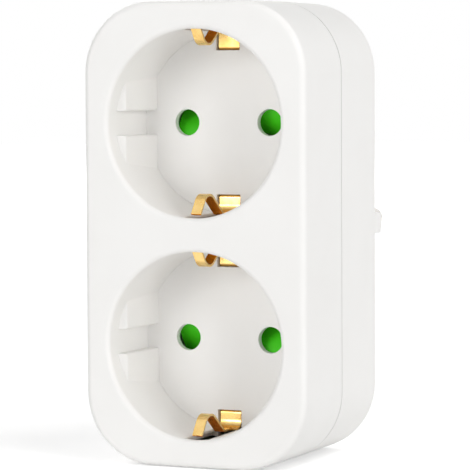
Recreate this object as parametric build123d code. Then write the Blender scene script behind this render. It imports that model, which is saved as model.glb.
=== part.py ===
from build123d import *
from math import acos, asin, atan, cos, degrees, radians, sin, sqrt
import os

# Two-way mains socket adapter: two round socket wells on the front, one plug on the back.
# Millimetres. +Z is up, the wells open towards -Y and the plug points along +Y.
# The origin is under the middle of the whole adapter, on the surface that it stands on.

# Housing
side_margin = 5.65  # well wall to the side of the housing, at the joint line
end_margin = 5.9  # well wall to the top or bottom of the housing, at the joint line
corner_radius = 15.0
split_depth = 19.3  # front face to the joint line between the covers
outline_draft = 0.15  # the front cover narrows this much on each side towards its face
wall = 2.0
front_edge_radius = 1.3
rear_edge_radius = 1.6
joint_gap = 0.35  # shadow line between the covers
lip_thickness = 0.9
lip_height = 1.5
lip_clearance = 0.1

# Socket wells
socket_pitch = 45.7
well_radius = 19.4
well_draft = 0.15
well_depth = 18.0
well_wall = 1.8
floor_wall = 1.6
rim_radius = 1.0
guide_height = 2.65  # how far the side guides stand in from the wall, at the floor
guide_draft = 0.85  # a guide is this much lower at its lead
guide_start = 3.75  # front face to the guides
guide_lead = 1.0
guide_edge_radius = 0.5
channel_width = 5.1  # gap between the two guides of a side

# Pins of the plug, and of the plugs that go into the wells
pin_pitch = 19.0
pin_radius = 2.4
pin_length = 19.0
pin_tip_flat = 0.3
shank_step = 0.3  # the pin's shank in the plug is this much larger in radius
pin_fit = 0.05
hole_clearance = 0.4
tip_clearance = 0.4  # from a pin tip to the contact bar behind it

# Plug
plug_radius = 18.5
plug_height = 20.5
plug_bore_radius = 15.0
plug_face_wall = 2.5
plug_edge_radius = 1.0
plug_play = 0.3  # gap between the plug's keyways and the guides of a well
plug_collar = 3.0  # full round part at the plug's root
sleeve_wall = 1.7

# Contact bars
bar_thickness = 0.6
bar_width = 8.0
bar_overrun = 4.0
leaf_width = 6.0
leaf_pinch = 2.1
leaf_flare = 3.1
leaf_lead = 2.2
leaf_bend_radius = 0.9
leaf_gap = 0.9  # between the contact leaves and the carrier
tail_radius = 1.6
tail_head_radius = 2.8
tail_head_height = 0.9

# Earth strips
strip_thickness = 0.5
strip_width = 4.8
tongue_width = 2.2
foot_inset = 0.25  # well wall to the strip's mid line at the foot of the lower clip
upper_clip_sink = 1.5  # the foot of the upper clip lies this much further out
riser_inset = 3.75  # well wall to the strip's mid line where it comes up behind the floor
plate_recess = 0.6
plate_bend_radius = 0.4
foot_bend_radius = 1.7
shoulder_height = 1.2  # well floor to the shoulder of a clip
tongue_foot_height = 5.0  # well floor to the foot of its tongue
tongue_foot_radius = 1.0
apex_depth = 5.5
apex_rise = 5.45  # the tongue's peak above its foot, before rounding
apex_radius = 3.15
tongue_end_depth = 1.75
tongue_end_rise = 0.35
window_clearance = 0.3
riser_clearance = 0.05
slot_clearance = 0.35
slot_start = 1.1
slot_skin = 0.3  # well wall left around the slot
skin_width = 1.5
leg_inset = 1.3  # plug surface to the mid line of the plug's earth strip
leg_length = 12.0
leg_hook = 2.4
leg_bend_radius = 0.9
rivet_radius = 1.2
rivet_head_radius = 2.0
rivet_head_height = 0.7

# Shutters
running_gap = 0.25
shutter_thickness = 5.4
ramp_depth = 3.8
wing_cover = 0.35  # how far a wing reaches past the edges of its pin hole
wing_tip_cover = 0.7
hub_radius = 4.2
spigot_radius = 2.3
pivot_radius = 1.5
pivot_clearance = 0.05
swing_margin = 3.5
peg_radius = 1.0
peg_gap = 0.3
peg_inset = 1.5

# Shutter springs
wire_radius = 0.2
spring_clearance = 0.35
spring_space = 2.8
spring_pitch = 0.65
spring_turns = 3
spring_play = 0.15
spring_end_gap = 0.45
spring_arm_reach = 8.0

# Contact carrier
carrier_thickness = 1.6
carrier_rim = 0.6
carrier_hole_gap = 0.6  # the carrier's pin holes are this much larger in radius than the well's
carrier_waist = 28.0
post_radius = 2.0
post_gap = 0.9
post_spigot_radius = 1.2
rib_thickness = 1.2
rib_gap = 1.05
rib_reach = 9.0  # past each socket's middle
rib_clearance = 0.3

# Screws
head_rounding = 0.5  # edge radius of a screw or rivet head, as a share of its height
screw_edge = 5.0  # housing corner to the screw's axis
screw_radius = 1.45
screw_length = 11.0
screw_head_radius = 2.7
screw_head_height = 1.9
screw_slot_width = 0.8
screw_slot_depth = 0.8
screw_play = 0.15
screw_seat = 3.0
boss_radius = 3.3
tower_wall = 0.8
screw_end_gap = 1.0

# Plan sizes that follow
body_width = 2 * (well_radius + side_margin)
body_height = socket_pitch + 2 * (well_radius + end_margin)
mid_z = body_height / 2
upper_z = mid_z + socket_pitch / 2
lower_z = mid_z - socket_pitch / 2
pin_x = pin_pitch / 2
pin_hole_radius = pin_radius + hole_clearance
shank_radius = pin_radius + shank_step
shank_bore_radius = shank_radius + pin_fit
floor_radius = well_radius - well_draft
guide_flat = floor_radius - guide_height
well_outside = well_radius + well_wall
wing_radius = pin_x + pin_hole_radius + wing_tip_cover
wing_angle = degrees(asin((pin_hole_radius + wing_cover) / pin_x))
shutter_swing = wing_angle + degrees(asin(pin_hole_radius / pin_x)) + swing_margin
post_x = wing_radius + post_gap + post_radius
carrier_radius = post_x + post_radius + carrier_rim
riser_radius = floor_radius - riser_inset
leg_z = plug_radius - leg_inset
screw_x = body_width / 2 - corner_radius + (corner_radius - screw_edge) * cos(radians(45))
screw_z = body_height / 2 - corner_radius + (corner_radius - screw_edge) * sin(radians(45))
rib_x = strip_width / 2 + rib_gap + rib_thickness / 2

# Depths behind the front face that follow
floor_back = well_depth + floor_wall
shutter_front = floor_back + running_gap
shutter_back = shutter_front + shutter_thickness
groove_front = shutter_back - spring_space
carrier_front = shutter_back + running_gap
carrier_back = carrier_front + carrier_thickness
strap_middle = carrier_back + strip_thickness / 2
bracket_middle = strap_middle + strip_thickness
plate_middle = well_depth + plate_recess + strip_thickness / 2
shoulder_depth = well_depth - shoulder_height
tongue_foot_depth = well_depth - tongue_foot_height
bar_front = well_depth + pin_length + tip_clearance
bar_back = bar_front + bar_thickness
body_depth = bar_back + wall
plug_end = body_depth + plug_height
pin_end = plug_end + pin_length
leg_end = body_depth + leg_length
screw_plane = floor_back + running_gap
screw_seat_depth = screw_plane + screw_seat
rebate_end = max(split_depth, screw_plane)
front_y = -pin_end / 2


def depth_plane(depth):
    """Plane parallel to the front face, seen from the front, at a depth behind it."""
    return Plane(origin=(0, front_y + depth, 0), x_dir=(1, 0, 0), z_dir=(0, -1, 0))


def prism(sketch, start, end):
    """Solid with a section drawn on the front view, between two depths."""
    return extrude(depth_plane(end) * sketch, end - start)


def disc(radius, x=0, z=0):
    """Round section at a place on the front view."""
    return Pos(x, z) * Circle(radius)


def patch(x_low, x_high, z_low, z_high):
    """Rectangular section between limits on the front view."""
    return Pos((x_low + x_high) / 2, (z_low + z_high) / 2) * Rectangle(x_high - x_low, z_high - z_low)


def outline(inset):
    """Rounded outline of the housing, moved in from its side by inset."""
    size = (body_width - 2 * inset, body_height - 2 * inset)
    return Pos(0, mid_z) * RectangleRounded(*size, corner_radius - inset)


def bent_strip(points, radii, thickness, width):
    """Sheet strip whose mid line runs through (height, depth) points, centred on X = 0."""
    side = Plane(origin=(-width / 2, front_y, 0), x_dir=(0, 0, 1), z_dir=(1, 0, 0))
    line = FilletPolyline(*[(z, -depth) for z, depth in points], radius=radii)
    return extrude(side * trace(line, line_width=thickness), width)


def screw_places():
    """Middle of each of the four housing screws on the front view."""
    return [(x, mid_z + z) for x in (-screw_x, screw_x) for z in (-screw_z, screw_z)]


def well_cavity(socket_z):
    """Room inside one socket well: a drafted bore less the four side guides."""
    top = front_y
    floor = front_y + well_depth
    section = Polyline((0, top), (well_radius, top), (floor_radius, floor), (0, floor), close=True)
    bore = revolve(Plane((0, 0, socket_z)) * make_face(section), Axis((0, 0, socket_z), (0, 1, 0)))
    guide = Polyline(
        (guide_flat + guide_draft, top + guide_start + guide_lead),
        (well_radius, top + guide_start),
        (well_outside, top + guide_start),
        (well_outside, floor),
        (guide_flat, floor),
        close=True,
    )
    block = extrude(Plane((0, 0, socket_z + channel_width / 2)) * make_face(guide), well_radius)
    lead_edge = block.edges().filter_by(Axis.Z).sort_by(Axis.X)[:2].sort_by(Axis.Y)[0]
    channel_edge = block.faces().sort_by(Axis.Z)[0].edges().sort_by(Axis.X)[0]
    block = fillet([lead_edge, channel_edge], guide_edge_radius)
    block += mirror(block, about=Plane((0, 0, socket_z)))
    return bore - block - mirror(block, about=Plane.YZ)


def clip_openings(socket_z, side):
    """Floor window and thin-walled slot for one earth clip, above (1) or below (-1) a socket's middle."""

    def cut(half_width, near, far, start, end):
        low, high = sorted((socket_z + side * near, socket_z + side * far))
        return prism(patch(-half_width, half_width, low, high), start, end)

    outside = well_outside + lip_clearance
    inner = riser_radius - strip_thickness / 2 - riser_clearance
    half_width = strip_width / 2 + window_clearance
    slot = cut(half_width, inner, outside, slot_start, floor_back)
    return slot + cut(half_width + skin_width, well_radius + slot_skin, outside, wall, well_depth)


def make_front_cover():
    """Front moulding with both socket wells, shutter pivots and screw bosses."""
    taper = degrees(atan(outline_draft / split_depth))
    cover = extrude(depth_plane(split_depth) * outline(0), split_depth, taper=taper)
    cover = fillet(cover.faces().sort_by(Axis.Y)[0].edges(), front_edge_radius)
    cover -= prism(outline(wall), wall, split_depth)
    for x, z in screw_places():
        cover += prism(disc(boss_radius, x, z), wall, screw_plane)
    rebate = outline(wall - lip_thickness - lip_clearance) - outline(wall + lip_clearance)
    cover -= prism(rebate, split_depth - lip_height, rebate_end)
    for socket_z in (lower_z, upper_z):
        cover += prism(disc(well_outside, 0, socket_z), wall, floor_back)
    for socket_z in (lower_z, upper_z):
        cover -= well_cavity(socket_z)
    front_edges = cover.faces().filter_by(Axis.Y).sort_by(Axis.Y)[0].inner_wires().edges()
    cover = fillet(front_edges, rim_radius)
    for socket_z in (lower_z, upper_z):
        cover += prism(disc(pivot_radius, 0, socket_z), floor_back, carrier_back - running_gap)
        for x in (-1, 1):
            cover += prism(disc(post_radius, x * post_x, socket_z), floor_back, carrier_front)
            cover += prism(disc(post_spigot_radius, x * post_x, socket_z), floor_back, carrier_back)
            cover -= prism(disc(pin_hole_radius, x * pin_x, socket_z), well_depth, floor_back)
            cover -= clip_openings(socket_z, x)
    pilot = screw_length - screw_seat + screw_end_gap
    for x, z in screw_places():
        cover -= prism(disc(screw_radius, x, z), screw_plane - pilot, screw_plane)
    return cover


def plug_keyways():
    """Cuts on the plug's sides that clear the guides of a wall socket."""
    flat = guide_flat - plug_play
    rib = channel_width / 2 - plug_play
    side = patch(flat, plug_radius + wall, mid_z + rib, mid_z + plug_radius)
    cut = prism(side, body_depth + plug_collar, plug_end)
    cut += mirror(cut, about=Plane((0, 0, mid_z)))
    return cut + mirror(cut, about=Plane.YZ)


def leg_groove(side):
    """Groove, wall slot and hook hole for the plug's earth strip, above (1) or below (-1)."""
    half_width = strip_width / 2 + slot_clearance
    floor = leg_z - strip_thickness / 2

    def cut(near, far, start, end):
        low, high = sorted((mid_z + side * near, mid_z + side * far))
        return prism(patch(-half_width, half_width, low, high), start, end)

    hook_front = leg_end - leg_bend_radius - slot_clearance
    hook_back = leg_end + strip_thickness / 2 + slot_clearance
    groove = cut(floor, plug_radius + wall, body_depth, hook_back)
    groove += cut(floor, leg_z + strip_thickness / 2 + slot_clearance, bar_back, body_depth)
    return groove + cut(plug_bore_radius - wall, floor, hook_front, hook_back)


def make_rear_cover():
    """Rear moulding with the plug, its pin sleeves and the screw towers."""
    cover = prism(outline(0), split_depth + joint_gap, body_depth)
    cover = fillet(cover.faces().sort_by(Axis.Y)[-1].edges(), rear_edge_radius)
    cover -= prism(outline(wall), split_depth, bar_back)
    lip = outline(wall - lip_thickness) - outline(wall)
    cover += prism(lip, split_depth - lip_height, split_depth + joint_gap + lip_height)
    plug = prism(disc(plug_radius, 0, mid_z), body_depth, plug_end)
    plug -= plug_keyways()
    plug = fillet(plug.faces().sort_by(Axis.Y)[-1].edges(), plug_edge_radius)
    cover += plug
    cover -= prism(disc(plug_bore_radius, 0, mid_z), bar_back, plug_end - plug_face_wall)
    for x in (-pin_x, pin_x):
        cover += prism(disc(shank_bore_radius + sleeve_wall, x, mid_z), bar_back, plug_end - plug_face_wall)
        cover -= prism(disc(shank_bore_radius, x, mid_z), bar_back, plug_end)
    for side in (-1, 1):
        cover -= leg_groove(side)
    head_bore = screw_head_radius + screw_play
    for x, z in screw_places():
        cover += prism(disc(head_bore + tower_wall, x, z), screw_plane, bar_back)
    for x, z in screw_places():
        cover -= prism(disc(head_bore, x, z), screw_seat_depth, body_depth)
        cover -= prism(disc(screw_radius + screw_play, x, z), screw_plane, screw_seat_depth)
    for socket_z in (lower_z, upper_z):
        for x in (-post_x, post_x):
            cover += prism(disc(post_radius, x, socket_z), carrier_back, bar_back)
    return cover


def peg_places(swing_side):
    """Stop pegs about a socket's middle: closed and open stops for both wings.

    swing_side is 1 where the shutter opens anticlockwise seen from the front, and -1 where it mirrors that.
    """
    circle = wing_radius - peg_inset
    beside = wing_angle + degrees(asin((peg_radius + peg_gap) / circle))
    angles = [-beside, shutter_swing + beside, 180 - beside, 180 + shutter_swing + beside]
    return [(swing_side * circle * cos(radians(a)), circle * sin(radians(a))) for a in angles]


def make_contact_carrier():
    """Inner moulding behind the wells: it keeps the shutters in and the earth strips off the bars."""
    plan = patch(-carrier_waist / 2, carrier_waist / 2, lower_z, upper_z)
    plan += disc(carrier_radius, 0, lower_z) + disc(carrier_radius, 0, upper_z)
    carrier = prism(plan, carrier_front, carrier_back)
    slot_half = strip_width / 2 + slot_clearance
    slot_depth = plate_bend_radius + slot_clearance
    for socket_z, swing_side in ((lower_z, -1), (upper_z, 1)):
        carrier -= prism(
            disc(pivot_radius + pivot_clearance, 0, socket_z), carrier_front, carrier_back - running_gap
        )
        for side in (-1, 1):
            x = side * post_x
            riser_z = socket_z + side * riser_radius
            slot = patch(-slot_half, slot_half, riser_z - slot_depth, riser_z + slot_depth)
            pin_hole = disc(pin_hole_radius + carrier_hole_gap, side * pin_x, socket_z)
            carrier -= prism(pin_hole, carrier_front, carrier_back)
            carrier -= prism(
                disc(post_spigot_radius + pivot_clearance, x, socket_z), carrier_front, carrier_back
            )
            carrier -= prism(slot, carrier_front, carrier_back)
        for x, z in peg_places(swing_side):
            carrier += prism(disc(peg_radius, x, socket_z + z), shutter_front, carrier_front)
    for side in (-1, 1):
        hole = disc(rivet_head_radius + slot_clearance, 0, mid_z + side * rivet_offset())
        carrier -= prism(hole, carrier_front, carrier_back)
        x = side * rib_x
        rib = patch(x - rib_thickness / 2, x + rib_thickness / 2, lower_z - rib_reach, upper_z + rib_reach)
        carrier += prism(rib, carrier_back, bar_front - rib_clearance)
    return carrier


def make_shutter():
    """Turning shutter of the upper socket, about X = Z = 0: two wings with pin ramps on a hub."""
    half = radians(wing_angle)
    corner = (wing_radius * cos(half), wing_radius * sin(half))
    arc = ThreePointArc((corner[0], -corner[1]), (wing_radius, 0), corner)
    sector = make_face([Line((0, 0), (corner[0], -corner[1])), arc, Line(corner, (0, 0))])
    high = pin_x * sin(half)
    low = corner[1] + wing_cover
    ramp_low = shutter_front + ramp_depth * (high + low) / (2 * high)
    ramp = Polyline(
        (front_y + shutter_front, high),
        (front_y + ramp_low, -low),
        (front_y + shutter_front, -low),
        close=True,
    )
    wing = prism(sector, shutter_front, shutter_back)
    wing -= extrude(Plane.YZ.offset(hub_radius) * make_face(ramp), wing_radius)
    shutter = wing + Rot(0, 180, 0) * wing
    shutter += prism(disc(hub_radius), shutter_front, groove_front)
    groove = spigot_radius + 2 * (spring_clearance + wire_radius)
    shutter -= prism(disc(groove), groove_front, shutter_back)
    shutter += prism(disc(spigot_radius), groove_front, shutter_back)
    return shutter - prism(disc(pivot_radius + pivot_clearance), shutter_front, shutter_back)


def make_shutter_spring():
    """Return spring of the upper shutter, about X = Z = 0: a coil with an arm to a wing and one to a peg."""
    radius = spigot_radius + spring_clearance + wire_radius
    wing_side = wing_angle + degrees(asin((wire_radius + spring_play) / spring_arm_reach))
    first = wing_side + degrees(acos(radius / spring_arm_reach))
    peg_x, peg_z = peg_places(1)[2]
    peg_circle = sqrt(peg_x**2 + peg_z**2)
    peg_turn = degrees(acos((radius - peg_radius - wire_radius - spring_play) / peg_circle))
    last = degrees(acos(peg_x / peg_circle)) - peg_turn
    turns = spring_turns + (last - first) / 360
    coil = Rot(0, 0, first) * Helix(spring_pitch, spring_pitch * turns, radius)
    wing_arm = sqrt(spring_arm_reach**2 - radius**2)
    peg_arm = peg_circle * sin(radians(peg_turn)) + peg_radius
    start = coil @ 0 - (coil % 0) * wing_arm
    end = coil @ 1 + (coil % 1) * peg_arm
    path = Wire([Line(start, coil @ 0), coil, Line(coil @ 1, end)])
    section = Plane(origin=start, z_dir=coil % 0) * Circle(wire_radius)
    return depth_plane(shutter_back - spring_end_gap) * sweep(section, path=path)


def make_contact_bar():
    """Contact bar of one pole, about X = 0: a flat strip with a pair of spring leaves for each socket."""
    half = bar_width / 2
    plan = patch(-half, half, lower_z - bar_overrun, upper_z + bar_overrun) - disc(tail_radius, 0, mid_z)
    bar = prism(plan, bar_front, bar_back)
    root = half - bar_thickness / 2
    mouth = carrier_back + leaf_gap
    side = [(root, bar_front + bar_thickness / 2), (leaf_pinch + bar_thickness / 2, mouth + leaf_lead)]
    side.append((leaf_flare, mouth))
    points = [(-x, front_y + depth) for x, depth in reversed(side)] + [(x, front_y + d) for x, d in side]
    section = trace(FilletPolyline(*points, radius=leaf_bend_radius), line_width=bar_thickness)
    for socket_z in (lower_z, upper_z):
        bar += extrude(Plane((0, 0, socket_z - leaf_width / 2)) * section, leaf_width)
    return bar


def make_plug_pin():
    """Solid pin of the plug, about X = 0, with its tail riveted over the contact bar."""
    pin = prism(disc(pin_radius, 0, mid_z), plug_end, pin_end)
    pin = fillet(pin.faces().sort_by(Axis.Y)[-1].edges(), pin_radius - pin_tip_flat)
    pin += prism(disc(shank_radius, 0, mid_z), bar_back, plug_end)
    pin += prism(disc(tail_radius, 0, mid_z), bar_front, bar_back)
    head = prism(disc(tail_head_radius, 0, mid_z), bar_front - tail_head_height, bar_front)
    return pin + fillet(head.faces().sort_by(Axis.Y)[0].edges(), tail_head_height * head_rounding)


def rivet_offset():
    """Height of an earth rivet from the adapter's middle, where a strap lies on the plug's bracket."""
    return (socket_pitch / 2 - riser_radius + leg_z) / 2


def make_earth_clip(foot):
    """Upper half of an earth strap about Z = 0, with a sprung tongue whose foot lies at a given height."""
    root = [
        (0, strap_middle),
        (riser_radius, strap_middle),
        (riser_radius, plate_middle),
        (foot, plate_middle),
        (foot, shoulder_depth),
    ]
    tongue = [
        (foot, shoulder_depth),
        (foot, tongue_foot_depth),
        (foot - apex_rise, apex_depth),
        (foot - tongue_end_rise, tongue_end_depth),
    ]
    root_radii = [plate_bend_radius, plate_bend_radius, foot_bend_radius]
    clip = bent_strip(root, root_radii, strip_thickness, strip_width)
    return clip + bent_strip(tongue, [tongue_foot_radius, apex_radius], strip_thickness, tongue_width)


def make_earth_strap(socket_z, rivet_z):
    """Earth strap of one socket: a strip behind the shutter with a sprung clip at each end of the well."""
    foot = floor_radius - foot_inset
    upper_clip = make_earth_clip(foot + upper_clip_sink)
    lower_clip = mirror(make_earth_clip(foot), about=Plane.XY)
    strap = Pos(0, 0, socket_z) * (upper_clip + lower_clip)
    return strap - prism(disc(rivet_radius, 0, rivet_z), carrier_back, carrier_back + strip_thickness)


def make_plug_earth_bracket():
    """Earth strip of the plug: it crosses behind the straps and runs down both sides of the plug."""
    leg = [
        (0, bracket_middle),
        (leg_z, bracket_middle),
        (leg_z, leg_end),
        (leg_z - leg_hook, leg_end),
    ]
    half = bent_strip(leg, leg_bend_radius, strip_thickness, strip_width)
    bracket = Pos(0, 0, mid_z) * (half + mirror(half, about=Plane.XY))
    front = bracket_middle - strip_thickness / 2
    for side in (-1, 1):
        hole = disc(rivet_radius, 0, mid_z + side * rivet_offset())
        bracket -= prism(hole, front, front + strip_thickness)
    return bracket


def make_earth_rivet(rivet_z):
    """Rivet through an earth strap and the plug's bracket, with a head at each end."""
    back = carrier_back + 2 * strip_thickness
    rivet = prism(disc(rivet_radius, 0, rivet_z), carrier_back, back)
    head = disc(rivet_head_radius, 0, rivet_z)
    front_head = prism(head, carrier_back - rivet_head_height, carrier_back)
    front_head = fillet(front_head.faces().sort_by(Axis.Y)[0].edges(), rivet_head_height * head_rounding)
    rear_head = prism(head, back, back + rivet_head_height)
    rear_head = fillet(rear_head.faces().sort_by(Axis.Y)[-1].edges(), rivet_head_height * head_rounding)
    return rivet + front_head + rear_head


def make_housing_screw(x, z):
    """Slotted pan-head screw that draws the rear cover onto a boss of the front cover."""
    head_end = screw_seat_depth + screw_head_height
    head = prism(disc(screw_head_radius, x, z), screw_seat_depth, head_end)
    head = fillet(head.faces().sort_by(Axis.Y)[-1].edges(), screw_head_height * head_rounding)
    slot_half = screw_slot_width / 2
    slot = patch(x - screw_head_radius, x + screw_head_radius, z - slot_half, z + slot_half)
    head -= prism(slot, head_end - screw_slot_depth, head_end)
    return head + prism(disc(screw_radius, x, z), screw_seat_depth - screw_length, screw_seat_depth)


upper_rivet_z = mid_z + rivet_offset()
lower_rivet_z = mid_z - rivet_offset()
upper_shutter = make_shutter()
upper_spring = make_shutter_spring()
contact_bar = make_contact_bar()
plug_pin = make_plug_pin()
screw_names = ["lower_left_screw", "upper_left_screw", "lower_right_screw", "upper_right_screw"]

pieces = {
    "front_cover": make_front_cover(),
    "rear_cover": make_rear_cover(),
    "contact_carrier": make_contact_carrier(),
    "upper_shutter": Pos(0, 0, upper_z) * upper_shutter,
    "lower_shutter": Pos(0, 0, lower_z) * mirror(upper_shutter, about=Plane.YZ),
    "upper_shutter_spring": Pos(0, 0, upper_z) * upper_spring,
    "lower_shutter_spring": Pos(0, 0, lower_z) * mirror(upper_spring, about=Plane.YZ),
    "live_bar": Pos(pin_x, 0, 0) * contact_bar,
    "neutral_bar": Pos(-pin_x, 0, 0) * contact_bar,
    "live_pin": Pos(pin_x, 0, 0) * plug_pin,
    "neutral_pin": Pos(-pin_x, 0, 0) * plug_pin,
    "upper_earth_strap": make_earth_strap(upper_z, upper_rivet_z),
    "lower_earth_strap": make_earth_strap(lower_z, lower_rivet_z),
    "plug_earth_bracket": make_plug_earth_bracket(),
    "upper_earth_rivet": make_earth_rivet(upper_rivet_z),
    "lower_earth_rivet": make_earth_rivet(lower_rivet_z),
}
for screw_name, (x, z) in zip(screw_names, screw_places()):
    pieces[screw_name] = make_housing_screw(x, z)

os.makedirs("parts", exist_ok=True)
for name, piece in pieces.items():
    export_step(piece, f"parts/{name}.step")
print(f"size {body_width:.2f} x {pin_end:.2f} x {body_height:.2f} mm, shutter swing {shutter_swing:.2f} deg")
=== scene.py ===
import logging
import math
from dataclasses import dataclass, field
from enum import Enum

import bmesh
import bpy
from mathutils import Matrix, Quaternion, Vector


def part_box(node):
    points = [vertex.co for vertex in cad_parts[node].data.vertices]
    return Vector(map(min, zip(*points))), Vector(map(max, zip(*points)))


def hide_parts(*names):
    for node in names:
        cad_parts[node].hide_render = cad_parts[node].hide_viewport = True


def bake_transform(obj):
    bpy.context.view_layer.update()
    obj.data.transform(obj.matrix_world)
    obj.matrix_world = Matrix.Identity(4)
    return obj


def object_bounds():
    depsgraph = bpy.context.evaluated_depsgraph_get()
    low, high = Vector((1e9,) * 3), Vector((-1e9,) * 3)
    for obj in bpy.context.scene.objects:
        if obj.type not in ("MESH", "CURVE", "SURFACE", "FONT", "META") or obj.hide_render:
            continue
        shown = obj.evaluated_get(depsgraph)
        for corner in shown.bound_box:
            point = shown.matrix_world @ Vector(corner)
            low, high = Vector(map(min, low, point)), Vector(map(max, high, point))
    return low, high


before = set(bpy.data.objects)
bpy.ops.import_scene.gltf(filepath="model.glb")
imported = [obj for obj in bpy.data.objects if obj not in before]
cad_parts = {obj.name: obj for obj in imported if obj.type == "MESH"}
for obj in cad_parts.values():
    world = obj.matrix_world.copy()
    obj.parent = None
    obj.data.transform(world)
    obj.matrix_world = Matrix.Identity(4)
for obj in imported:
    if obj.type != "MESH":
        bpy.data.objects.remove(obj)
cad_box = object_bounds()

log = logging.getLogger("socket_adapter")

Colour = tuple[float, float, float]
Triple = tuple[float, float, float]
Span = tuple[float, float]
Node = bpy.types.Node
Socket = bpy.types.NodeSocket

IMAGE_SIDE = 470
BEVEL_SAMPLES = 6
UNIT_SPAN: Span = (0.0, 1.0)
WHITE: Colour = (1.0, 1.0, 1.0)


class Row(Enum):
    """The two sockets of the adapter, by their place in the housing."""

    UPPER = "upper"
    LOWER = "lower"


class Pole(Enum):
    """The two current-carrying sides of the adapter."""

    LIVE = "live"
    NEUTRAL = "neutral"


class Way(Enum):
    """Direction of a node group's socket."""

    IN = "INPUT"
    OUT = "OUTPUT"


class NodeSheet:
    """A node tree with short calls to add and join nodes."""

    def __init__(self, tree: bpy.types.NodeTree) -> None:
        """Takes over a node tree and empties it.

        Args:
            tree: The tree to fill.
        """
        self.tree = tree
        self.tree.nodes.clear()

    def add(self, kind: str, **values: object) -> Node:
        """Adds a node.

        Args:
            kind: The node's type name, without its ShaderNode prefix.
            values: Properties of the node, such as operation or data_type.

        Returns:
            The new node.
        """
        prefix = "" if kind.startswith("NodeGroup") else "ShaderNode"
        node = self.tree.nodes.new(prefix + kind)
        for name, value in values.items():
            setattr(node, name, value)
        return node

    def join(self, source: Socket, target: Socket) -> None:
        """Links two sockets.

        Args:
            source: The output socket.
            target: The input socket.
        """
        self.tree.links.new(source, target)

    def give(self, value: float | Colour | Socket, target: Socket) -> None:
        """Gives an input its value.

        Args:
            value: A number, a colour, or an output socket to link.
            target: The input socket.
        """
        if isinstance(value, Socket):
            self.join(value, target)
        elif isinstance(value, tuple):
            target.default_value = (*value, 1.0)
        else:
            target.default_value = value

    def place(self, group: bpy.types.NodeTree, **inputs: object) -> Node:
        """Places a shared effect in this tree.

        Args:
            group: The effect's node group.
            inputs: Values of the group's inputs, with _ for a space in a name.

        Returns:
            The group node.
        """
        node = self.add("Group", node_tree=group)
        for name, value in inputs.items():
            node.inputs[name.replace("_", " ")].default_value = value
        return node

    def math(self, operation: str, *values: float | Socket) -> Socket:
        """Adds a calculation.

        Args:
            operation: Name of the Math node's operation.
            values: Its inputs, in their order.

        Returns:
            The output socket with the result.
        """
        node = self.add("Math", operation=operation)
        for value, target in zip(values, node.inputs):
            self.give(value, target)
        return node.outputs["Value"]

    def noise(self, vector: Socket, scale: float | Socket, detail: float) -> Socket:
        """Adds a noise.

        Args:
            vector: Output socket with the place.
            scale: How fine the noise is.
            detail: How many finer layers it has.

        Returns:
            The output socket with the noise.
        """
        node = self.add("TexNoise")
        self.join(vector, node.inputs["Vector"])
        self.give(scale, node.inputs["Scale"])
        self.give(detail, node.inputs["Detail"])
        return node.outputs["Fac"]

    def blend(self, factor: Socket, low: Colour | Socket, high: Colour) -> Socket:
        """Mixes two colours by a factor.

        Args:
            factor: Output socket that gives 0 for low and 1 for high.
            low: Colour at 0, or a socket that gives it.
            high: Colour at 1.

        Returns:
            The output socket with the mixed colour.
        """
        node = self.add("Mix", data_type="RGBA")
        self.join(factor, node.inputs["Factor"])
        colours = [socket for socket in node.inputs if socket.type == "RGBA"]
        for socket, colour in zip(colours, (low, high)):
            self.give(colour, socket)
        return next(socket for socket in node.outputs if socket.type == "RGBA")

    def span(self, value: Socket, result: Span, limits: Span = UNIT_SPAN) -> Socket:
        """Maps one range onto another.

        Args:
            value: Output socket to map.
            result: Values at the lower and the upper limit.
            limits: Range of the value, past which the result stays the same.

        Returns:
            The output socket with the mapped value.
        """
        node = self.add("MapRange")
        for label, number in zip(("From Min", "From Max", "To Min", "To Max"), (*limits, *result)):
            self.give(number, node.inputs[label])
        self.join(value, node.inputs["Value"])
        return node.outputs["Result"]


class Effect:
    """A surface effect that several finishes share, as one shader node group."""

    name: str = ""
    inputs: dict[str, str] = {}
    outputs: dict[str, str] = {}

    def __init__(self) -> None:
        """Makes the group with its sockets and fills it."""
        self.group = bpy.data.node_groups.new(self.name, "ShaderNodeTree")
        for way, sockets in ((Way.IN, self.inputs), (Way.OUT, self.outputs)):
            for label, kind in sockets.items():
                self.group.interface.new_socket(name=label, in_out=way.value, socket_type=kind)
        sheet = NodeSheet(self.group)
        self.fill(sheet, sheet.add("NodeGroupInput"), sheet.add("NodeGroupOutput"))

    def fill(self, sheet: NodeSheet, source: Node, result: Node) -> None:
        """Adds the effect's nodes.

        Args:
            sheet: The group's tree.
            source: The group's input node.
            result: The group's output node.
        """
        raise NotImplementedError


class MouldGrain(Effect):
    """Fine texture of a spark-eroded mould, with slow changes in its depth."""

    name = "mould_grain"
    inputs = {"Grain Scale": "NodeSocketFloat", "Patch Scale": "NodeSocketFloat"}
    outputs = {"Height": "NodeSocketFloat", "Patches": "NodeSocketFloat"}
    grain_detail: float = 3.0
    patch_detail: float = 2.0
    patch_limits: Span = (0.3, 0.7)

    def fill(self, sheet: NodeSheet, source: Node, result: Node) -> None:
        """Adds a fine noise for the height and a coarse one for the patches.

        Args:
            sheet: The group's tree.
            source: The group's input node.
            result: The group's output node.
        """
        place = sheet.add("TexCoord").outputs["Object"]
        grain = sheet.noise(place, source.outputs["Grain Scale"], self.grain_detail)
        patches = sheet.noise(place, source.outputs["Patch Scale"], self.patch_detail)
        sheet.join(grain, result.inputs["Height"])
        sheet.join(sheet.span(patches, UNIT_SPAN, self.patch_limits), result.inputs["Patches"])


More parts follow.
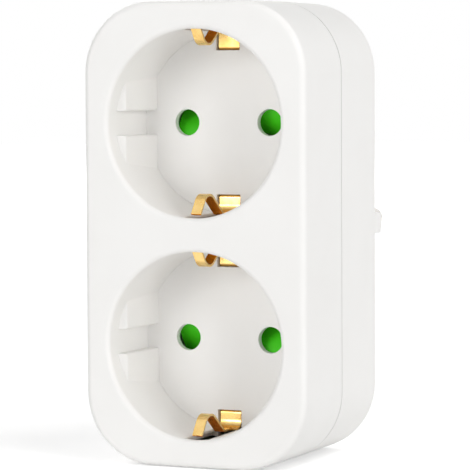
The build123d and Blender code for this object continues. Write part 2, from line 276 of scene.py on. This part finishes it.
class DrawnLines(Effect):
    """Lines that rolling, drawing or turning leaves on metal, with dull patches."""

    name = "drawn_lines"
    inputs = {"Line Scale": "NodeSocketVector", "Patch Scale": "NodeSocketFloat"}
    outputs = {"Lines": "NodeSocketFloat", "Patches": "NodeSocketFloat"}
    line_detail: float = 4.0
    patch_detail: float = 3.0
    patch_limits: Span = (0.35, 0.7)

    def fill(self, sheet: NodeSheet, source: Node, result: Node) -> None:
        """Adds a stretched noise for the lines and a round one for the patches.

        Args:
            sheet: The group's tree.
            source: The group's input node.
            result: The group's output node.
        """
        place = sheet.add("TexCoord").outputs["Object"]
        stretch = sheet.add("VectorMath", operation="MULTIPLY")
        sheet.join(place, stretch.inputs[0])
        sheet.join(source.outputs["Line Scale"], stretch.inputs[1])
        lines = sheet.noise(stretch.outputs["Vector"], 1.0, self.line_detail)
        patches = sheet.noise(place, source.outputs["Patch Scale"], self.patch_detail)
        sheet.join(lines, result.inputs["Lines"])
        sheet.join(sheet.span(patches, UNIT_SPAN, self.patch_limits), result.inputs["Patches"])


class InnerSide(Effect):
    """Finds the side of a clip's strip that is turned away from the middle of its well, as the mask
    of the clips' painted shade.
    """

    name = "inner_side"
    inputs = {"Well Height": "NodeSocketFloat"}
    outputs = {"Turned Away": "NodeSocketFloat"}
    limits: Span = (0.2, 0.5)

    def fill(self, sheet: NodeSheet, source: Node, result: Node) -> None:
        """Compares the way that the surface faces with the way out from the well's middle.

        Args:
            sheet: The group's tree.
            source: The group's input node.
            result: The group's output node.
        """
        place = sheet.add("TexCoord")
        point = sheet.add("SeparateXYZ")
        facing = sheet.add("SeparateXYZ")
        sheet.join(place.outputs["Object"], point.inputs["Vector"])
        sheet.join(place.outputs["Normal"], facing.inputs["Vector"])
        offset = sheet.math("SUBTRACT", point.outputs["Z"], source.outputs["Well Height"])
        # Mask for the painted shade on the strip's inner side.
        away = sheet.math("MULTIPLY", facing.outputs["Z"], sheet.math("SIGN", offset))
        sheet.join(sheet.span(away, UNIT_SPAN, self.limits), result.inputs["Turned Away"])


@dataclass
class Effects:
    """The shared effects, each built once."""

    mould_grain: MouldGrain = field(default_factory=MouldGrain)
    drawn_lines: DrawnLines = field(default_factory=DrawnLines)
    inner_side: InnerSide = field(default_factory=InnerSide)


@dataclass(frozen=True)
class Finish:
    """What every finish has: two tones, a range of roughness, relief and softened edges.

    Sizes are in metres.
    """

    name: str
    tone: Colour
    second_tone: Colour
    roughness: Span
    relief: float
    edge_radius: float

    def material(self, effects: Effects) -> bpy.types.Material:
        """Builds the finish.

        Args:
            effects: The shared surface effects.

        Returns:
            A node material with one Principled shader.
        """
        made = bpy.data.materials.new(self.name)
        made.use_nodes = True
        made.diffuse_color = (*self.tone, 1.0)
        sheet = NodeSheet(made.node_tree)
        shader = sheet.add("BsdfPrincipled")
        output = sheet.add("OutputMaterial")
        sheet.join(shader.outputs["BSDF"], output.inputs["Surface"])
        height, patches = self.surface(sheet, effects)
        sheet.join(self.colour(sheet, effects, patches), shader.inputs["Base Color"])
        sheet.join(sheet.span(patches, self.roughness), shader.inputs["Roughness"])
        bevel = sheet.add("Bevel", samples=BEVEL_SAMPLES)
        sheet.give(self.edge_radius, bevel.inputs["Radius"])
        bump = sheet.add("Bump")
        sheet.give(1.0, bump.inputs["Strength"])
        sheet.give(self.relief, bump.inputs["Distance"])
        sheet.join(height, bump.inputs["Height"])
        sheet.join(bevel.outputs["Normal"], bump.inputs["Normal"])
        sheet.join(bump.outputs["Normal"], shader.inputs["Normal"])
        self.set_shader(shader)
        return made

    def surface(self, sheet: NodeSheet, effects: Effects) -> tuple[Socket, Socket]:
        """Places the finish's surface effect.

        Args:
            sheet: The material's tree.
            effects: The shared surface effects.

        Returns:
            The sockets with the height of the relief and the mask of the patches.
        """
        raise NotImplementedError

    def colour(self, sheet: NodeSheet, effects: Effects, patches: Socket) -> Socket:
        """Mixes the tones of the finish.

        Args:
            sheet: The material's tree.
            effects: The shared surface effects.
            patches: Socket with the mask of the second tone.

        Returns:
            The socket with the colour.
        """
        return sheet.blend(patches, self.tone, self.second_tone)

    def set_shader(self, shader: Node) -> None:
        """Sets the values that are the same all over the surface.

        Args:
            shader: The material's Principled shader.
        """
        raise NotImplementedError


@dataclass(frozen=True)
class MouldedPlastic(Finish):
    """Injection-moulded plastic."""

    grain_scale: float = 2600.0
    patch_scale: float = 60.0
    gloss: float = 0.5
    refraction: float = 1.5

    def surface(self, sheet: NodeSheet, effects: Effects) -> tuple[Socket, Socket]:
        """Places the mould's grain.

        Args:
            sheet: The material's tree.
            effects: The shared surface effects.

        Returns:
            The sockets with the height of the grain and the mask of the patches.
        """
        node = sheet.place(
            effects.mould_grain.group, Grain_Scale=self.grain_scale, Patch_Scale=self.patch_scale
        )
        return node.outputs["Height"], node.outputs["Patches"]

    def set_shader(self, shader: Node) -> None:
        """Sets a plastic's index of refraction and its gloss.

        Args:
            shader: The material's Principled shader.
        """
        shader.inputs["IOR"].default_value = self.refraction
        shader.inputs["Specular IOR Level"].default_value = self.gloss


@dataclass(frozen=True)
class WorkedMetal(Finish):
    """Bare or plated metal with the lines of its making."""

    line_scale: Triple = (3000.0, 80.0, 80.0)
    patch_scale: float = 400.0

    def surface(self, sheet: NodeSheet, effects: Effects) -> tuple[Socket, Socket]:
        """Places the lines of rolling, drawing or turning.

        Args:
            sheet: The material's tree.
            effects: The shared surface effects.

        Returns:
            The sockets with the height of the lines and the mask of the patches.
        """
        node = sheet.place(
            effects.drawn_lines.group, Line_Scale=self.line_scale, Patch_Scale=self.patch_scale
        )
        return node.outputs["Lines"], node.outputs["Patches"]

    def set_shader(self, shader: Node) -> None:
        """Makes the surface metal.

        Args:
            shader: The material's Principled shader.
        """
        shader.inputs["Metallic"].default_value = 1.0


@dataclass(frozen=True)
class ClipBrass(WorkedMetal):
    """Brass of a well's earth clips, with a deep orange painted shade and painted brass-on-brass
    reflection on the strip's inner side.
    """

    # Deep orange painted shade and painted reflection of brass on brass, laid on the strip's inner
    # side.
    painted_shade: Colour = (1.0, 0.31, 0.004)
    well_height: float = 0.0

    def colour(self, sheet: NodeSheet, effects: Effects, patches: Socket) -> Socket:
        """Adds the painted shade of the inner side to the tones of the brass.

        Args:
            sheet: The material's tree.
            effects: The shared surface effects.
            patches: Socket with the mask of the second tone.

        Returns:
            The socket with the colour.
        """
        bright = super().colour(sheet, effects, patches)
        inner = sheet.place(effects.inner_side.group, Well_Height=self.well_height)
        # Painted shade: the inner side, turned away from the well's middle, is mixed towards the
        # deep orange tone.
        return sheet.blend(inner.outputs["Turned Away"], bright, self.painted_shade)


COVER_WHITE = MouldedPlastic(
    name="cover_white",
    tone=(0.945, 0.937, 0.92),
    second_tone=(0.93, 0.921, 0.902),
    roughness=(0.5, 0.56),
    relief=0.000004,
    edge_radius=0.0003,
)
CARRIER_WHITE = MouldedPlastic(
    name="carrier_white",
    tone=(0.74, 0.73, 0.69),
    second_tone=(0.7, 0.69, 0.65),
    roughness=(0.5, 0.6),
    relief=0.000008,
    edge_radius=0.0002,
)
SHUTTER_GREEN = MouldedPlastic(
    name="shutter_green",
    tone=(0.09, 0.92, 0.016),
    second_tone=(0.08, 0.82, 0.014),
    roughness=(0.3, 0.4),
    relief=0.000004,
    edge_radius=0.0002,
)
ROLLED_BRASS = WorkedMetal(
    name="rolled_brass",
    tone=(0.92, 0.65, 0.26),
    second_tone=(0.86, 0.55, 0.17),
    roughness=(0.22, 0.34),
    relief=0.000003,
    edge_radius=0.00012,
)
PLATED_PIN = WorkedMetal(
    name="plated_pin",
    tone=(0.8, 0.79, 0.76),
    second_tone=(0.74, 0.72, 0.68),
    roughness=(0.14, 0.24),
    relief=0.000002,
    edge_radius=0.00012,
    line_scale=(60.0, 5000.0, 60.0),
)
ZINC_STEEL = WorkedMetal(
    name="zinc_steel",
    tone=(0.6, 0.61, 0.62),
    second_tone=(0.5, 0.5, 0.5),
    roughness=(0.25, 0.4),
    relief=0.000003,
    edge_radius=0.0001,
    line_scale=(60.0, 4000.0, 60.0),
)


@dataclass
class SubAssembly:
    """Pieces of the adapter that belong together and how they are finished."""

    title: str
    finishes: dict[str, Finish]

    def dress(self, materials: dict[str, bpy.types.Material]) -> list[bpy.types.Object]:
        """Gives each piece its finish.

        Args:
            materials: Built materials by the finish's name.

        Returns:
            The pieces.
        """
        pieces = []
        for node_name, finish in self.finishes.items():
            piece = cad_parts[node_name]
            piece.data.materials.clear()
            piece.data.materials.append(materials[finish.name])
            pieces.append(piece)
        return pieces


class Housing(SubAssembly):
    """Both covers and the screws between them."""

    def __init__(self) -> None:
        """Names the covers and the four screws."""
        finishes: dict[str, Finish] = {"front_cover": COVER_WHITE, "rear_cover": COVER_WHITE}
        for row in Row:
            for side in ("left", "right"):
                finishes[f"{row.value}_{side}_screw"] = ZINC_STEEL
        super().__init__("housing", finishes)


class ShutterUnit(SubAssembly):
    """One socket's turning shutter and its return spring.

    The spring's end arms are as deep as arm_depth, in metres.
    """

    arm_depth: float = 0.0004

    def __init__(self, row: Row) -> None:
        """Names the shutter and the spring of one socket.

        Args:
            row: The socket.
        """
        shutter = f"{row.value}_shutter"
        self.row = row
        self.spring = f"{shutter}_spring"
        super().__init__(shutter, {shutter: SHUTTER_GREEN})

    def dress(self, materials: dict[str, bpy.types.Material]) -> list[bpy.types.Object]:
        """Gives the shutter its finish and makes the spring.

        Args:
            materials: Built materials by the finish's name.

        Returns:
            The shutter and the spring.
        """
        return [*super().dress(materials), self.wind(materials[ZINC_STEEL.name])]

    def wind(self, steel: bpy.types.Material) -> bpy.types.Object:
        """Makes the spring in the shape of its node, as a copy that stands in for the hidden node.

        Args:
            steel: The spring's material.

        Returns:
            The spring.
        """
        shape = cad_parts[self.spring].data.copy()
        coil = bpy.data.objects.new(f"{self.row.value}_spring_coil", shape)
        coil.data.materials.clear()
        coil.data.materials.append(steel)
        bpy.context.scene.collection.objects.link(coil)
        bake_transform(coil)
        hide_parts(self.spring)
        return coil


class PoleUnit(SubAssembly):
    """One pole's contact bar and its plug pin."""

    def __init__(self, pole: Pole) -> None:
        """Names the bar and the pin of one pole.

        Args:
            pole: The pole.
        """
        finishes = {f"{pole.value}_bar": ROLLED_BRASS, f"{pole.value}_pin": PLATED_PIN}
        super().__init__(f"{pole.value} pole", finishes)


class EarthUnit(SubAssembly):
    """The earth straps, the plug's bracket and the rivets that join them."""

    def __init__(self) -> None:
        """Names the straps, the bracket and the rivets."""
        finishes: dict[str, Finish] = {"plug_earth_bracket": ROLLED_BRASS}
        for row in Row:
            finishes[f"{row.value}_earth_strap"] = self.clip_brass(row)
            finishes[f"{row.value}_earth_rivet"] = ROLLED_BRASS
        super().__init__("earth", finishes)

    @staticmethod
    def clip_brass(row: Row) -> ClipBrass:
        """Describes the brass of one well's clips.

        Args:
            row: The socket.

        Returns:
            Rolled brass that knows where the middle of its well is, to place its painted shade.
        """
        low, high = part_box(f"{row.value}_earth_strap")
        return ClipBrass(
            name=f"{row.value}_clip_brass",
            tone=ROLLED_BRASS.tone,
            second_tone=ROLLED_BRASS.second_tone,
            roughness=ROLLED_BRASS.roughness,
            relief=ROLLED_BRASS.relief,
            edge_radius=ROLLED_BRASS.edge_radius,
            well_height=(low[2] + high[2]) / 2,
        )


def direction(azimuth: float, elevation: float) -> Vector:
    """Finds the way from the object to a viewer or a lamp.

    Args:
        azimuth: Angle to the right of the front, in degrees.
        elevation: Angle above the horizon, in degrees.

    Returns:
        The direction, with length 1.
    """
    turn, rise = math.radians(azimuth), math.radians(elevation)
    flat = math.cos(rise)
    return Vector((math.sin(turn) * flat, -math.cos(turn) * flat, math.sin(rise)))


@dataclass(frozen=True)
class PhotoCamera:
    """Camera at the photograph's viewing angle. Angles in degrees, lengths in metres.

    The sensor's width is in millimetres, and the focal length in pixels of the image.
    """

    azimuth: float = 24.174
    elevation: float = 3.346
    roll: float = -0.29
    focal_pixels: float = 2528.4
    distance: float = 0.51352
    target: Triple = (0.0095, -0.03975, 0.04844)
    sensor: float = 36.0
    nearest: float = 0.01

    def build(self) -> None:
        """Makes the camera and gives it to the scene."""
        back = direction(self.azimuth, self.elevation)
        data = bpy.data.cameras.new("photo_camera")
        data.sensor_width = self.sensor
        data.lens = self.sensor * self.focal_pixels / IMAGE_SIDE
        data.clip_start = self.nearest
        camera = bpy.data.objects.new("photo_camera", data)
        camera.rotation_mode = "QUATERNION"
        camera.location = Vector(self.target) + back * self.distance
        upright = (-back).to_track_quat("-Z", "Y")
        camera.rotation_quaternion = upright @ Quaternion((0, 0, 1), math.radians(self.roll))
        bpy.context.scene.collection.objects.link(camera)
        bpy.context.scene.camera = camera


@dataclass(frozen=True)
class SoftBox:
    """A square studio lamp that faces the object.

    Angles are in degrees, lengths in metres, and the power in watts.
    """

    name: str
    azimuth: float
    elevation: float
    distance: float
    side: float
    power: float

    def build(self, centre: Vector) -> None:
        """Makes the lamp.

        Args:
            centre: The point that it faces.
        """
        back = direction(self.azimuth, self.elevation)
        data = bpy.data.lights.new(self.name, "AREA")
        data.size = self.side
        data.energy = self.power
        lamp = bpy.data.objects.new(self.name, data)
        lamp.rotation_mode = "QUATERNION"
        lamp.location = centre + back * self.distance
        lamp.rotation_quaternion = (-back).to_track_quat("-Z", "Y")
        bpy.context.scene.collection.objects.link(lamp)


@dataclass
class Studio:
    """Pale floor, white surroundings and soft lamps.

    The floor's glow has the values of floor_glow at the two distances of glow_reach, in metres.
    """

    floor_radius: float = 3.0
    floor_segments: int = 96
    floor_tone: Colour = (0.93, 0.93, 0.93)
    floor_glow: Span = (0.42, 0.8)
    glow_reach: Span = (0.4, 1.6)
    ambient: float = 0.235
    lamps: tuple[SoftBox, ...] = (
        SoftBox("front_box", azimuth=-20.0, elevation=9.0, distance=2.0, side=1.0, power=13.7),
        SoftBox("right_box", azimuth=59.0, elevation=9.0, distance=2.0, side=1.0, power=16.0),
        SoftBox("top_box", azimuth=80.0, elevation=60.0, distance=2.0, side=1.0, power=12.5),
        SoftBox("back_box", azimuth=225.0, elevation=25.0, distance=2.0, side=1.2, power=14.0),
    )

    def build(self) -> None:
        """Makes the floor, the surroundings and the lamps."""
        low, high = (Vector(corner) for corner in cad_box)
        self.build_floor()
        self.build_world()
        for lamp in self.lamps:
            lamp.build((low + high) / 2)
        bpy.context.scene.view_settings.view_transform = "Standard"

    @staticmethod
    def seen(sheet: NodeSheet) -> Socket:
        """Tells rays of the camera and of reflections from rays of light.

        Args:
            sheet: The tree to work in.

        Returns:
            A socket that is 1 for camera, glossy and transmission rays.
        """
        path = sheet.add("LightPath")
        first = sheet.math("MAXIMUM", path.outputs["Is Camera Ray"], path.outputs["Is Glossy Ray"])
        return sheet.math("MAXIMUM", first, path.outputs["Is Transmission Ray"])

    def floor_material(self) -> bpy.types.Material:
        """Builds the floor's finish, which is white and keeps the object's shadow.

        Its glow, seen by the camera and in reflections, grows outwards as the lamps' light fades.

        Returns:
            The material.
        """
        made = bpy.data.materials.new("studio_floor")
        made.use_nodes = True
        sheet = NodeSheet(made.node_tree)
        matt = sheet.add("BsdfDiffuse")
        sheet.give(self.floor_tone, matt.inputs["Color"])
        away = sheet.add("VectorMath", operation="LENGTH")
        sheet.join(sheet.add("TexCoord").outputs["Object"], away.inputs[0])
        rise = sheet.span(away.outputs["Value"], self.floor_glow, self.glow_reach)
        glow = sheet.add("Emission")
        sheet.join(sheet.math("MULTIPLY", rise, self.seen(sheet)), glow.inputs["Strength"])
        added = sheet.add("AddShader")
        output = sheet.add("OutputMaterial")
        sheet.join(matt.outputs["BSDF"], added.inputs[0])
        sheet.join(glow.outputs["Emission"], added.inputs[1])
        sheet.join(added.outputs["Shader"], output.inputs["Surface"])
        return made

    def build_floor(self) -> None:
        """Makes a round floor."""
        mesh = bpy.data.meshes.new("studio_floor")
        shape = bmesh.new()
        bmesh.ops.create_circle(
            shape, cap_ends=True, segments=self.floor_segments, radius=self.floor_radius
        )
        shape.to_mesh(mesh)
        shape.free()
        mesh.materials.append(self.floor_material())
        floor = bpy.data.objects.new("studio_floor", mesh)
        bpy.context.scene.collection.objects.link(floor)

    def build_world(self) -> None:
        """Makes the surroundings white to the camera and softer as light."""
        world = bpy.data.worlds.new("studio_world")
        world.use_nodes = True
        sheet = NodeSheet(world.node_tree)
        background = sheet.add("Background")
        output = sheet.add("OutputWorld")
        strength = sheet.span(self.seen(sheet), (self.ambient, 1.0))
        sheet.give(WHITE, background.inputs["Color"])
        sheet.join(strength, background.inputs["Strength"])
        sheet.join(background.outputs["Background"], output.inputs["Surface"])
        bpy.context.scene.world = world


def main() -> None:
    """Dresses the adapter, then sets up the studio and the camera."""
    logging.basicConfig(level=logging.INFO, format="%(name)s: %(message)s")
    effects = Effects()
    assemblies: list[SubAssembly] = [Housing(), EarthUnit()]
    assemblies.append(SubAssembly("contact carrier", {"contact_carrier": CARRIER_WHITE}))
    assemblies += [ShutterUnit(row) for row in Row]
    assemblies += [PoleUnit(pole) for pole in Pole]
    used = {finish.name: finish for assembly in assemblies for finish in assembly.finishes.values()}
    materials = {name: finish.material(effects) for name, finish in used.items()}
    for assembly in assemblies:
        for piece in assembly.dress(materials):
            log.info("%s: %s is %s", assembly.title, piece.name, piece.data.materials[0].name)
    Studio().build()
    PhotoCamera().build()


if __name__ == "__main__":
    main()
